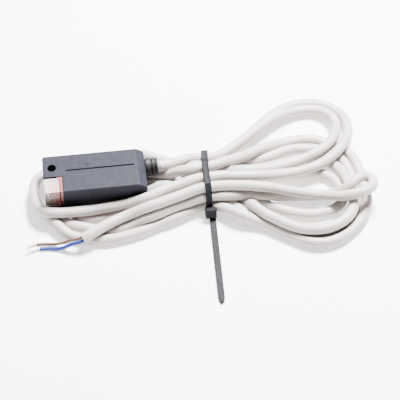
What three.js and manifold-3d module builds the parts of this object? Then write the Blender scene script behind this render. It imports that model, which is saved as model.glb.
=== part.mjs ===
// Photoelectric sensor (through-beam transmitter) with a two-core lead tied in a hank.
// Units: mm. +Z up, +X from the lens end to the cable end, -Y is the side the lens corner faces.
// Geometry is laid out from the case's lens-end front bottom corner and shifted at the end so
// that the origin is the centre of the underside of case and strain relief together.
import * as THREE from 'three';
import { mergeVertices } from 'three/addons/utils/BufferGeometryUtils.js';
import Module from 'manifold-3d';

const wasm = await Module();
wasm.setup();

// ---- driving dimensions -------------------------------------------------------------------
const CASE_L = 38.8, CASE_W = 18.0, CASE_H = 10.0;      // moulded case
const SLOPE_L = 3.1, SLOPE_DROP = 2.0;                  // sloped shoulder above the cable end
const WALL = 1.25, ROOF = 1.3;                          // case wall and roof thickness
const HOLE_X = 3.4, HOLE_Y = 12.0, HOLE_D = 3.2;        // fixing hole for an M3 screw
const EAR_X = 7.2, EAR_Y = 7.9;                         // solid ear around the fixing hole
const LENS_X = 5.9, LENS_Y = 7.0, LENS_TOP = 9.9;       // clear corner lens
const GROOVE_X0 = 8.7, GROOVE_X1 = 34.4, GROOVE_Y = 10.15, GROOVE_W = 0.5, GROOVE_D = 0.35;
const PLATE_T = 1.3;                                    // closing plate in the underside
const CABLE_D = 4.0, CABLE_Y = 12.8, CABLE_Z = 4.6;     // lead and its exit axis
const BOOT_END = 44.4, BOOT_R = 3.6, BOOT_NECK_R = 2.9;
const CORE_D = 1.15;
const FLOOR_Z = -4.3;                                   // surface that the hank lies on
const TIE_X = 61.4, TIE_W = 2.5, TIE_T = 1.0;           // strap position, width, thickness
const SHIFT = [-BOOT_END / 2, -CASE_W / 2, -CASE_H / 2];  // origin at the middle of case and boot

// ---- helpers ------------------------------------------------------------------------------
const group = new THREE.Group();
group.name = 'photoelectric_sensor_with_lead';

function positionsOnly(geo) {
  const g = new THREE.BufferGeometry();
  g.setAttribute('position', geo.getAttribute('position').clone());
  if (geo.getIndex()) g.setIndex(geo.getIndex().clone());
  return mergeVertices(g, 1e-4);
}
function solid(geo) {
  const g = positionsOnly(geo);
  return new wasm.Manifold(new wasm.Mesh({
    numProp: 3,
    vertProperties: new Float32Array(g.getAttribute('position').array),
    triVerts: new Uint32Array(g.getIndex().array),
  }));
}
function geometryOf(man) {
  const m = man.getMesh();
  const n = m.vertProperties.length / m.numProp;
  const pos = new Float32Array(n * 3);
  for (let i = 0; i < n; i++) {
    for (let k = 0; k < 3; k++) pos[3 * i + k] = m.vertProperties[i * m.numProp + k];
  }
  const g = new THREE.BufferGeometry();
  g.setAttribute('position', new THREE.BufferAttribute(pos, 3));
  g.setIndex(new THREE.BufferAttribute(new Uint32Array(m.triVerts), 1));
  return g;
}
function piece(name, geo, color, roughness, metalness = 0, extra = {}) {
  const g = positionsOnly(geo);
  g.translate(...SHIFT);
  g.computeVertexNormals();
  const mesh = new THREE.Mesh(g, new THREE.MeshStandardMaterial({ color, roughness, metalness, ...extra }));
  mesh.name = name;
  group.add(mesh);
}
function box(x0, x1, y0, y1, z0, z1) {
  return new THREE.BoxGeometry(x1 - x0, y1 - y0, z1 - z0)
    .translate((x0 + x1) / 2, (y0 + y1) / 2, (z0 + z1) / 2);
}
// prism of a plan outline, from z0 to z1
function prism(points, z0, z1) {
  const s = new THREE.Shape(points.map(([x, y]) => new THREE.Vector2(x, y)));
  return new THREE.ExtrudeGeometry(s, { depth: z1 - z0, bevelEnabled: false, steps: 1 }).translate(0, 0, z0);
}
// closed smooth outline through the given points
function smooth(points, n) {
  const c = new THREE.CatmullRomCurve3(points.map(([x, y]) => new THREE.Vector3(x, y, 0)), true, 'centripetal');
  return c.getSpacedPoints(n).slice(0, n).map((p) => [p.x, p.y]);
}
// prism with its outline in the Y-Z plane, from x0 to x1
function prismX(points, x0, x1) {
  const s = new THREE.Shape(points.map(([y, z]) => new THREE.Vector2(y, z)));
  const g = new THREE.ExtrudeGeometry(s, { depth: x1 - x0, bevelEnabled: false, steps: 1 });
  g.applyMatrix4(new THREE.Matrix4().makeBasis(
    new THREE.Vector3(0, 1, 0), new THREE.Vector3(0, 0, 1), new THREE.Vector3(1, 0, 0)));
  return g.translate(x0, 0, 0);
}
function roundedPlan(x0, x1, y0, y1, r, n = 4) {
  const out = [];
  const corner = (cx, cy, a0) => {
    for (let i = 0; i <= n; i++) {
      const a = a0 + (Math.PI / 2) * (i / n);
      out.push([cx + r * Math.cos(a), cy + r * Math.sin(a)]);
    }
  };
  corner(x1 - r, y1 - r, 0);
  corner(x0 + r, y1 - r, Math.PI / 2);
  corner(x0 + r, y0 + r, Math.PI);
  corner(x1 - r, y0 + r, 1.5 * Math.PI);
  return out;
}
function cyl(r, x, y, z0, z1, n = 32) {
  return new THREE.CylinderGeometry(r, r, z1 - z0, n).rotateX(Math.PI / 2).translate(x, y, (z0 + z1) / 2);
}
// body of revolution about the cable's exit axis; profile is a closed loop of [x, radius]
function turned(profile, n) {
  const pts = profile.map(([x, r]) => new THREE.Vector2(r, x));
  pts.push(pts[0].clone());
  const g = new THREE.LatheGeometry(pts, n);
  // the lathe axis (Y) becomes X
  g.applyMatrix4(new THREE.Matrix4().makeBasis(
    new THREE.Vector3(0, 0, 1), new THREE.Vector3(1, 0, 0), new THREE.Vector3(0, 1, 0)));
  return g.translate(0, CABLE_Y, CABLE_Z);
}
// plain round tube along a curve through the points
function tube(points, d, sides, steps) {
  const curve = new THREE.CatmullRomCurve3(points.map((p) => new THREE.Vector3(...p)), false, 'centripetal');
  const s = new THREE.Shape();
  for (let i = 0; i < sides; i++) {
    const a = (2 * Math.PI * (i + 0.5)) / sides;
    const x = (d / 2) * Math.cos(a), y = (d / 2) * Math.sin(a);
    if (i === 0) s.moveTo(x, y); else s.lineTo(x, y);
  }
  s.closePath();
  return new THREE.ExtrudeGeometry(s, { steps, bevelEnabled: false, extrudePath: curve, curveSegments: 1 });
}

// ---- case shell ---------------------------------------------------------------------------
{
  const EDGE = 0.35;
  const plan = roundedPlan(EDGE, CASE_L - EDGE, EDGE, CASE_W - EDGE, 0.85, 4);
  const s = new THREE.Shape(plan.map(([x, y]) => new THREE.Vector2(x, y)));
  const outerGeo = new THREE.ExtrudeGeometry(s, {
    depth: CASE_H - 2 * EDGE, bevelEnabled: true, bevelThickness: EDGE, bevelSize: EDGE, bevelSegments: 2, steps: 1,
  }).translate(0, 0, EDGE);
  let shell = solid(outerGeo);
  // sloped shoulder above the cable end
  const wedge = new THREE.Shape([
    new THREE.Vector2(CASE_L - SLOPE_L, CASE_H), new THREE.Vector2(CASE_L + 1, CASE_H - SLOPE_DROP * (SLOPE_L + 1) / SLOPE_L),
    new THREE.Vector2(CASE_L + 1, CASE_H + 1), new THREE.Vector2(CASE_L - SLOPE_L, CASE_H + 1)]);
  const wedgeGeo = new THREE.ExtrudeGeometry(wedge, { depth: CASE_W + 2, bevelEnabled: false })
    .rotateX(Math.PI / 2).translate(0, CASE_W + 1, 0);
  shell = shell.subtract(solid(wedgeGeo));
  // main cavity, open underneath, with the seat for the closing plate
  shell = shell.subtract(solid(box(EAR_X + 1.0, CASE_L - WALL, WALL, CASE_W - WALL, -1, CASE_H - ROOF - 0.8)));
  shell = shell.subtract(solid(box(EAR_X + 1.0, CASE_L - SLOPE_L - 0.6, WALL, CASE_W - WALL, CASE_H - ROOF - 1.3, CASE_H - ROOF)));
  // corner pocket of the lens, open to the front, to the end and upwards
  shell = shell.subtract(solid(box(-1, EAR_X, -1, EAR_Y - 0.2, 1.4, CASE_H + 1)));
  // window from the pocket into the cavity
  shell = shell.subtract(solid(box(EAR_X - 0.5, EAR_X + 1.5, 2.6, 6.2, 2.6, 8.0)));
  // fixing hole with a small lead-in at the top
  shell = shell.subtract(solid(cyl(HOLE_D / 2, HOLE_X, HOLE_Y, -1, CASE_H + 1, 32)));
  // engraved line on the top face
  shell = shell.subtract(solid(box(GROOVE_X0, GROOVE_X1, GROOVE_Y - GROOVE_W / 2, GROOVE_Y + GROOVE_W / 2, CASE_H - GROOVE_D, CASE_H + 1)));
  // plain shallow marking panel on the top face
  shell = shell.subtract(solid(prism(roundedPlan(12.4, 17.2, 10.9, 13.0, 0.5, 3), CASE_H - 0.12, CASE_H + 1)));
  // cable exit through the end wall
  shell = shell.subtract(solid(new THREE.CylinderGeometry(BOOT_NECK_R + 0.15, BOOT_NECK_R + 0.15, 4, 28)
    .rotateZ(Math.PI / 2).translate(CASE_L, CABLE_Y, CABLE_Z)));
  piece('case_shell', geometryOf(shell), 0x2b2b31, 0.55);
}

// ---- closing plate with four support posts -------------------------------------------------
{
  const x0 = EAR_X + 1.2, x1 = CASE_L - WALL - 0.2, y0 = WALL + 0.2, y1 = CASE_W - WALL - 0.2;
  let plate = solid(box(x0, x1, y0, y1, 0, PLATE_T));
  for (const [px, py] of [[10.4, 3.2], [10.4, 14.8], [31.2, 3.2], [31.2, 14.8]]) {
    plate = plate.add(solid(cyl(0.9, px, py, PLATE_T - 0.4, 3.1, 12)));
  }
  piece('closing_plate', geometryOf(plate), 0x26262b, 0.6);
}

// ---- clear corner lens: a hollow cap with a convex inner face --------------------------------
{
  const outer = prism([[0.35, 0], [LENS_X, 0], [LENS_X, LENS_Y - 1.1], [LENS_X - 1.1, LENS_Y], [0, LENS_Y], [0, 0.35]], 1.7, LENS_TOP);
  let lens = solid(outer).subtract(solid(box(1.1, LENS_X + 1, 1.1, LENS_Y - 1.4, 0, LENS_TOP - 1.1)));
  const dome = new THREE.LatheGeometry([
    new THREE.Vector2(0, 0), new THREE.Vector2(1.9, 0), new THREE.Vector2(1.75, 0.45),
    new THREE.Vector2(1.2, 0.85), new THREE.Vector2(0.6, 1.02), new THREE.Vector2(0, 1.08)], 20)
    .translate(3.4, 1.0, 5.3);
  lens = lens.add(solid(dome));
  piece('corner_lens', geometryOf(lens), 0xe9dedd, 0.12, 0, { transparent: true, opacity: 0.5 });
}

// ---- red light guide against the lens's inner faces -----------------------------------------
{
  let guide = solid(prism([[LENS_X + 0.2, 0.15], [EAR_X - 0.2, 0.15], [EAR_X - 0.2, EAR_Y - 0.45],
    [LENS_X - 0.95, EAR_Y - 0.45], [LENS_X - 0.95, LENS_Y + 0.13], [LENS_X + 0.2, LENS_Y - 1.0]], 1.7, LENS_TOP - 0.1));
  guide = guide.subtract(solid(box(LENS_X - 0.2, EAR_X + 1, 3.0, 5.8, 3.0, 7.6)));
  piece('red_light_guide', geometryOf(guide), 0xc8494c, 0.2, 0, { transparent: true, opacity: 0.75 });
}

// ---- emitter, its holder and its two legs ----------------------------------------------------
{
  const body = solid(box(2.3, 4.5, 3.5, 5.2, 4.0, 6.6));
  const bulb = new THREE.LatheGeometry([
    new THREE.Vector2(0, 0), new THREE.Vector2(0.95, 0), new THREE.Vector2(0.85, 0.4),
    new THREE.Vector2(0.5, 0.7), new THREE.Vector2(0, 0.82)], 16)
    .rotateX(Math.PI).translate(3.4, 3.6, 5.3);
  piece('emitter_led', geometryOf(body.add(solid(bulb))), 0xd9d4cf, 0.2, 0, { transparent: true, opacity: 0.6 });

  let holder = solid(box(8.5, 9.5, 2.0, 7.0, 4.7, 8.4));
  holder = holder.subtract(solid(box(8.0, 10, 3.4, 5.4, 4.0, 7.4)));
  piece('emitter_holder', geometryOf(holder), 0x1c1c1f, 0.6);

  piece('emitter_leg_anode', prism([[4.7, 3.75], [10.9, 3.75], [10.9, 4.15], [4.7, 4.15]], 5.1, 5.4), 0xc9c9c4, 0.3, 1.0);
  piece('emitter_leg_cathode', prism([[4.7, 4.65], [10.9, 4.65], [10.9, 5.05], [4.7, 5.05]], 5.1, 5.4), 0xc9c9c4, 0.3, 1.0);
}

// ---- circuit board and its parts -------------------------------------------------------------
const PCB_X0 = 8.6, PCB_X1 = 33.6, PCB_Y0 = 1.7, PCB_Y1 = 16.3, PCB_Z0 = 3.3, PCB_Z1 = 4.3;
{
  let pcb = solid(box(PCB_X0, PCB_X1, PCB_Y0, PCB_Y1, PCB_Z0, PCB_Z1));
  for (const [x, y] of [[30.2, 11.0], [30.2, 14.2]]) {
    pcb = pcb.subtract(solid(cyl(0.5, x, y, PCB_Z0 - 1, PCB_Z1 + 1, 12)));
  }
  piece('circuit_board', geometryOf(pcb), 0x1f5a34, 0.45);

  const Z = PCB_Z1 + 0.1;
  // driver chip with eight legs
  let chip = solid(box(16.2, 21.2, 5.4, 9.2, Z + 0.1, Z + 1.6));
  for (let i = 0; i < 4; i++) {
    const x = 17.0 + i * 1.1;
    chip = chip.add(solid(box(x, x + 0.4, 4.4, 5.8, Z, Z + 0.45)));
    chip = chip.add(solid(box(x, x + 0.4, 8.8, 10.2, Z, Z + 0.45)));
  }
  piece('driver_chip', geometryOf(chip), 0x19191b, 0.5);

  let reg = solid(box(24.0, 28.5, 3.4, 5.9, Z + 0.05, Z + 1.5));
  reg = reg.add(solid(box(25.4, 27.1, 5.7, 6.9, Z, Z + 0.4)));
  for (const x of [24.3, 25.95, 27.6]) reg = reg.add(solid(box(x, x + 0.6, 2.5, 3.6, Z, Z + 0.4)));
  piece('voltage_regulator', geometryOf(reg), 0x1b1b1d, 0.5);

  let diode = solid(box(24.2, 28.4, 12.9, 15.3, Z + 0.05, Z + 2.1));
  diode = diode.add(solid(box(23.6, 24.5, 13.4, 14.8, Z, Z + 1.0))).add(solid(box(28.1, 29.0, 13.4, 14.8, Z, Z + 1.0)));
  piece('protection_diode', geometryOf(diode), 0x202022, 0.5);

  let tr = solid(box(12.6, 15.4, 10.9, 12.3, Z + 0.05, Z + 1.0));
  for (const [x, y] of [[12.8, 10.2], [14.7, 10.2], [13.8, 12.1]]) tr = tr.add(solid(box(x, x + 0.45, y, y + 0.9, Z, Z + 0.3)));
  piece('drive_transistor', geometryOf(tr), 0x1d1d1f, 0.5);

  let tant = solid(box(17.2, 21.0, 11.6, 14.4, Z + 0.05, Z + 1.9));
  tant = tant.add(solid(box(16.8, 17.4, 12.3, 13.7, Z, Z + 0.8))).add(solid(box(20.8, 21.4, 12.3, 13.7, Z, Z + 0.8)));
  piece('smoothing_capacitor', geometryOf(tant), 0xb98a2c, 0.5);

  piece('timing_capacitor', box(12.6, 14.6, 7.2, 8.45, Z, Z + 0.9), 0xa58a63, 0.5);
  piece('filter_capacitor', box(23.6, 25.6, 8.6, 9.85, Z, Z + 0.9), 0xa58a63, 0.5);
  piece('resistor_a', box(12.6, 14.2, 2.6, 3.4, Z, Z + 0.45), 0x222226, 0.45);
  piece('resistor_b', box(12.6, 14.2, 4.8, 5.6, Z, Z + 0.45), 0x222226, 0.45);
  piece('resistor_c', box(17.6, 19.2, 2.4, 3.2, Z, Z + 0.45), 0x222226, 0.45);
  // indicator lamp beside the window to the light guide
  piece('indicator_led', box(9.7, 11.0, 7.6, 8.4, Z, Z + 0.7), 0xd84b43, 0.3, 0, { transparent: true, opacity: 0.9 });
}

// ---- cable entry: inner cores, solder joints, clamp, strain relief ----------------------------
{
  const joint = (x, y) => new THREE.LatheGeometry([
    new THREE.Vector2(0, 0), new THREE.Vector2(0.85, 0), new THREE.Vector2(0.7, 0.3), new THREE.Vector2(0.4, 0.55),
    new THREE.Vector2(0, 0.62)], 14).rotateX(Math.PI / 2).translate(x, y, PCB_Z1 + 0.1);
  piece('solder_joint_brown', joint(30.2, 14.2), 0xb9bcc0, 0.3, 1.0);
  piece('solder_joint_blue', joint(30.2, 11.0), 0xb9bcc0, 0.3, 1.0);
  const r = CORE_D / 2;
  piece('inner_core_brown', tube([[33.9, CABLE_Y + 0.75, 5.5], [32.9, CABLE_Y + 1.1, 5.7], [31.6, 14.2, 5.75], [30.2, 14.2, 5.75]], 2 * r, 8, 6), 0x6a4a38, 0.5);
  piece('inner_core_blue', tube([[33.9, CABLE_Y - 0.75, 5.5], [32.9, CABLE_Y - 1.1, 5.7], [31.6, 11.0, 5.75], [30.2, 11.0, 5.75]], 2 * r, 8, 6), 0x2a3f9a, 0.5);
  piece('cable_clamp', turned([[34.6, 2.15], [34.6, 2.75], [36.1, 2.75], [36.1, 2.15]], 24), 0xb7b9bc, 0.35, 1.0);
  // ribbed boot: flange inside the wall, neck through it, three ribs outside
  const BR = BOOT_R, NK = BOOT_NECK_R, bore = CABLE_D / 2 + 0.15;
  piece('strain_relief_boot', turned([
    [36.35, bore], [36.35, 3.15], [37.25, 3.15], [37.25, NK], [CASE_L + 0.2, NK], [CASE_L + 0.2, BR], [41.15, BR],
    [41.25, NK + 0.1], [41.75, NK + 0.1], [41.85, BR], [42.75, BR], [42.85, NK + 0.1], [43.25, NK + 0.1],
    [43.35, BR - 0.05], [43.9, BR - 0.2], [44.25, BR - 0.6], [BOOT_END, BR - 1.05], [BOOT_END, bore]], 28), 0x232327, 0.6);
}

// ---- the lead -------------------------------------------------------------------------------
// stretch from inside the case, through the boot, to the hank
piece('cable_lead_in', tube([[34.3, CABLE_Y, CABLE_Z], [38, CABLE_Y, CABLE_Z], [44.6, CABLE_Y, CABLE_Z], [48.5, 13.6, 4.3], [52.0, 14.6, 3.7], [55.0, 15.4, 3.2]], CABLE_D, 12, 9), 0xcfcac6, 0.5);

// the hank's outer shape: flat lobe under the case, raised runs in front of it, bundle at the tie,
// wide lobe on the far side with its two openings
{
  const leftLobe = smooth([[-4.6, 18.2], [-6.4, 10.0], [-4.8, 4.2], [-0.6, -1.8], [1.8, -6.4], [3.6, -10.2], [7, -13.4],
    [12, -15.1], [19, -16.4], [25, -16.3], [31, -15.6], [36, -14.0], [43, -11.4], [50, -8.6], [58, -5.4], [63, -4.6],
    [68, 2], [66, 14], [60, 19.0], [50, 20.4], [38, 21.2], [22, 22.0], [6, 22.2]], 72);
  let hank = solid(prism(leftLobe, FLOOR_Z, -0.3));
  const raised = [[3.2, -4.3], [12, -4.9], [22, -4.8], [31.98, -4.25], [33.68, -8.55], [38, -9.2], [44, -8.6], [50, -7.2], [56.2, -5.0],
    [57, 4], [56.2, 9.6], [50.5, 8.7], [46.5, 7.6], [43.5, 4.2], [41.0, 1.0], [39.6, -0.5], [20, -0.5], [3.2, -0.5]];
  hank = hank.add(solid(prism(raised, -1.5, 3.3)));
  const bundle = [[-5.2, -1.5], [-4.6, 2.4], [-2.6, 6.4], [-0.8, 7.5], [9.3, 7.5], [11.2, 6.9], [17.5, 3.8], [18.6, 1.8],
    [18.6, -1.6], [17.6, FLOOR_Z], [-3.8, FLOOR_Z]];
  hank = hank.add(solid(prismX(bundle, 55.95, 74)));
  const rightLobe = smooth([[64, 17.5], [72.8, 22.6], [79.5, 29.2], [87.3, 39.6], [96, 44.6], [104.6, 47.0], [111.8, 45.3],
    [118.2, 39.4], [121.4, 32.2], [121.8, 23.5], [123.2, 16.5], [124.4, 8], [126.0, 1.5], [126.2, -4.5], [124.6, -9.8],
    [121.6, -17], [116, -24], [109, -28.0], [100.3, -28.4], [92.3, -25.8], [82, -19.6], [71.6, -10.6], [64, -4.6]], 84);
  hank = hank.add(solid(prism(rightLobe, FLOOR_Z, 3.4)));
  const upperRun = smooth([[70, -2.5], [84, -5.6], [98, -7.6], [112, -10.2], [121, -9.0], [124.4, -3.5], [121, -0.6], [112, -5.0],
    [104, -3.2], [90, 0.4], [98, 1.2], [108, 4.6], [115.6, 11.0], [120.6, 20.0], [117.6, 24.4], [112, 18.6], [100, 10.4], [84, 8.4], [70, 9.6]], 72);
  hank = hank.add(solid(prism(upperRun, 2.0, 6.6)));
  const loopHole = smooth([[82.5, 23.8], [88, 28.4], [94, 32.4], [100, 34.6], [106, 35.0], [110.4, 33.2], [113.0, 29.2], [112.6, 25.6],
    [109.4, 22.6], [102, 22.4], [92, 22.0]], 40);
  const midHole = smooth([[88, -0.2], [96, 1.0], [103, -0.6], [109, -3.0], [113.0, -5.2], [106, -4.6], [98, -3.2], [91, -1.6]], 28);
  hank = hank.subtract(solid(prism(loopHole, FLOOR_Z - 1, 9)));
  hank = hank.subtract(solid(prism(midHole, FLOOR_Z - 1, 9)));
  // everything at the strap is drawn in and lifted off the surface by the strap's own thickness
  const band = (p, x0, x1) => solid(prismX(p, x0, x1));
  const around = band([[-40, -9], [60, -9], [60, 20], [-40, 20]], TIE_X - TIE_W / 2 - 0.3, TIE_X + TIE_W / 2 + 0.3);
  const kept = [[-5.2, -1.5], [-4.6, 2.4], [-2.6, 6.4], [-0.8, 7.5], [9.3, 7.5], [11.2, 6.9], [17.5, 3.8], [18.6, 1.8],
    [18.6, -1.6], [17.4, -3.0], [-4.0, -3.0]];
  hank = hank.subtract(around.subtract(band(kept, TIE_X - 5, TIE_X + 5)));
  piece('cable_hank', geometryOf(hank), 0xcfcac6, 0.5);
}

// free stretch from the hank to the stripped end
piece('cable_free_end', tube([[32.5, -6.5, 2.0], [27.5, -8.6, 2.0], [23.3, -10.3, 2.0], [19.4, -12.2, 2.0], [15.5, -14.4, 2.0], [12.9, -16.0, 2.0]], CABLE_D, 12, 6), 0xcfcac6, 0.5);
piece('core_brown', tube([[12.4, -15.6, 2.2], [10.0, -15.6, 1.4], [6.3, -15.0, -1.4], [2.4, -13.9, -3.3], [-1.0, -13.2, -3.7], [-4.5, -13.0, -3.72]], 1.0, 8, 12), 0x5c4233, 0.5);
piece('core_blue', tube([[12.2, -17.0, 1.5], [10.0, -17.2, 0.4], [6.6, -16.8, -1.9], [3.0, -16.1, -3.5], [-0.4, -15.5, -3.68], [-3.4, -15.3, -3.68]], 1.2, 8, 12), 0x2f4fb0, 0.45);
piece('strands_brown', tube([[-4.8, -13.0, -3.8], [-7.0, -13.6, -3.9], [-9.2, -14.4, -4.0]], 0.5, 8, 4), 0xc9c4bb, 0.35, 0.9);
piece('strands_blue', tube([[-3.7, -15.3, -3.8], [-6.5, -16.0, -3.9], [-9.8, -16.9, -4.0]], 0.5, 8, 4), 0xc9c4bb, 0.35, 0.9);

// ---- cable tie: strap loop, head and tail in one moulding --------------------------------------
{
  const inner = [[-5.5, -1.6], [-4.9, 2.5], [-2.9, 6.7], [-1.0, 7.8], [9.4, 7.8], [11.4, 7.2], [17.8, 4.0], [18.9, 1.9],
    [18.9, -1.7], [17.6, -3.25], [-4.3, -3.25]];
  const outer = [[-6.5, -1.8], [-5.9, 2.9], [-3.6, 7.5], [-1.3, 8.8], [9.7, 8.8], [11.8, 8.15], [18.5, 4.75], [19.9, 2.2],
    [19.9, -2.1], [18.1, -4.2], [-5.0, -4.2]];
  const x0 = TIE_X - TIE_W / 2, x1 = TIE_X + TIE_W / 2;
  let tie = solid(prismX(outer, x0, x1)).subtract(solid(prismX(inner, x0 - 1, x1 + 1)));
  // head, leaning back against the bundle
  const head = box(-2.2, 2.2, -1.55, 1.55, -1.95, 1.95).rotateX(-0.35).translate(TIE_X + 0.3, -7.55, -1.0);
  tie = tie.add(solid(head));
  // tail, leaving below the head and lying on the surface
  const tail = prismX([[-6.9, -0.9], [-7.9, -2.9], [-9.2, -3.2], [-46.6, -3.3], [-47.6, -3.65], [-47.6, -3.95], [-46.6, -4.25],
    [-8.8, -4.25], [-7.4, -3.9], [-6.2, -1.2]], -1.2, 1.2)
    .translate(0, 8.5, 0).rotateZ(-0.038).translate(TIE_X + 0.95, -8.5, 0);
  tie = tie.add(solid(tail));
  piece('cable_tie', geometryOf(tie), 0x26262b, 0.5);
}

export default group;
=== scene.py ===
import bpy
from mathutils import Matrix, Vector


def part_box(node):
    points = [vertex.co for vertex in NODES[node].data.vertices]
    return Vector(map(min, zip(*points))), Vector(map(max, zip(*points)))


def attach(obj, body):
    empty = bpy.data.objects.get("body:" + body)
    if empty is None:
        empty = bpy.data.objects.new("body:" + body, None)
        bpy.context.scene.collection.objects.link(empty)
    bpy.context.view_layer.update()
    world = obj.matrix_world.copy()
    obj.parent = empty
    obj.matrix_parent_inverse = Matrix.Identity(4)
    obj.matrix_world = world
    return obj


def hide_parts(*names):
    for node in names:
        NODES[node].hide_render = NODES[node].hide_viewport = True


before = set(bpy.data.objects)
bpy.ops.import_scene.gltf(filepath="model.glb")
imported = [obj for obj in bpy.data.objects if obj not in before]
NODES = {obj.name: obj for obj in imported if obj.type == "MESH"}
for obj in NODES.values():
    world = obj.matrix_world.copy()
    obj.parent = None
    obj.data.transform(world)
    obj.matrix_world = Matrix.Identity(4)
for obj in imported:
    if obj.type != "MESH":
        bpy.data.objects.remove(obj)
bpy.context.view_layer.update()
import bpy, math
import numpy as np
from mathutils import Vector, Matrix

ORIGIN = np.array([22.2, 9.0, 5.0])      # case-corner layout (mm) to the row frame


def row(p):
    """Points in millimetres from the case's lens-end front bottom corner, to the row frame in metres."""
    return (np.asarray(p, float) - ORIGIN) * 0.001


def R(p):
    return Vector(row(p).tolist())


# ---- camera ------------------------------------------------------------------------------------
el, az = math.radians(51.56101783), math.radians(6.939355)
fwd = Vector((math.sin(az) * math.cos(el), math.cos(az) * math.cos(el), -math.sin(el)))
right = Vector((math.cos(az), -math.sin(az), 0.0))
up = right.cross(fwd)
cam_data = bpy.data.cameras.new("photo_camera")
cam_data.sensor_width = 36.0
cam_data.lens = 36.0 * 1530.0 / 400.0
cam_data.clip_start = 0.05
cam_data.clip_end = 5.0
cam = bpy.data.objects.new("photo_camera", cam_data)
bpy.context.scene.collection.objects.link(cam)
cam.matrix_world = Matrix(((right.x, up.x, -fwd.x, -0.0076385), (right.y, up.y, -fwd.y, -0.3702009),
                           (right.z, up.z, -fwd.z, 0.4506729), (0, 0, 0, 1)))
bpy.context.scene.camera = cam

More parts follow.
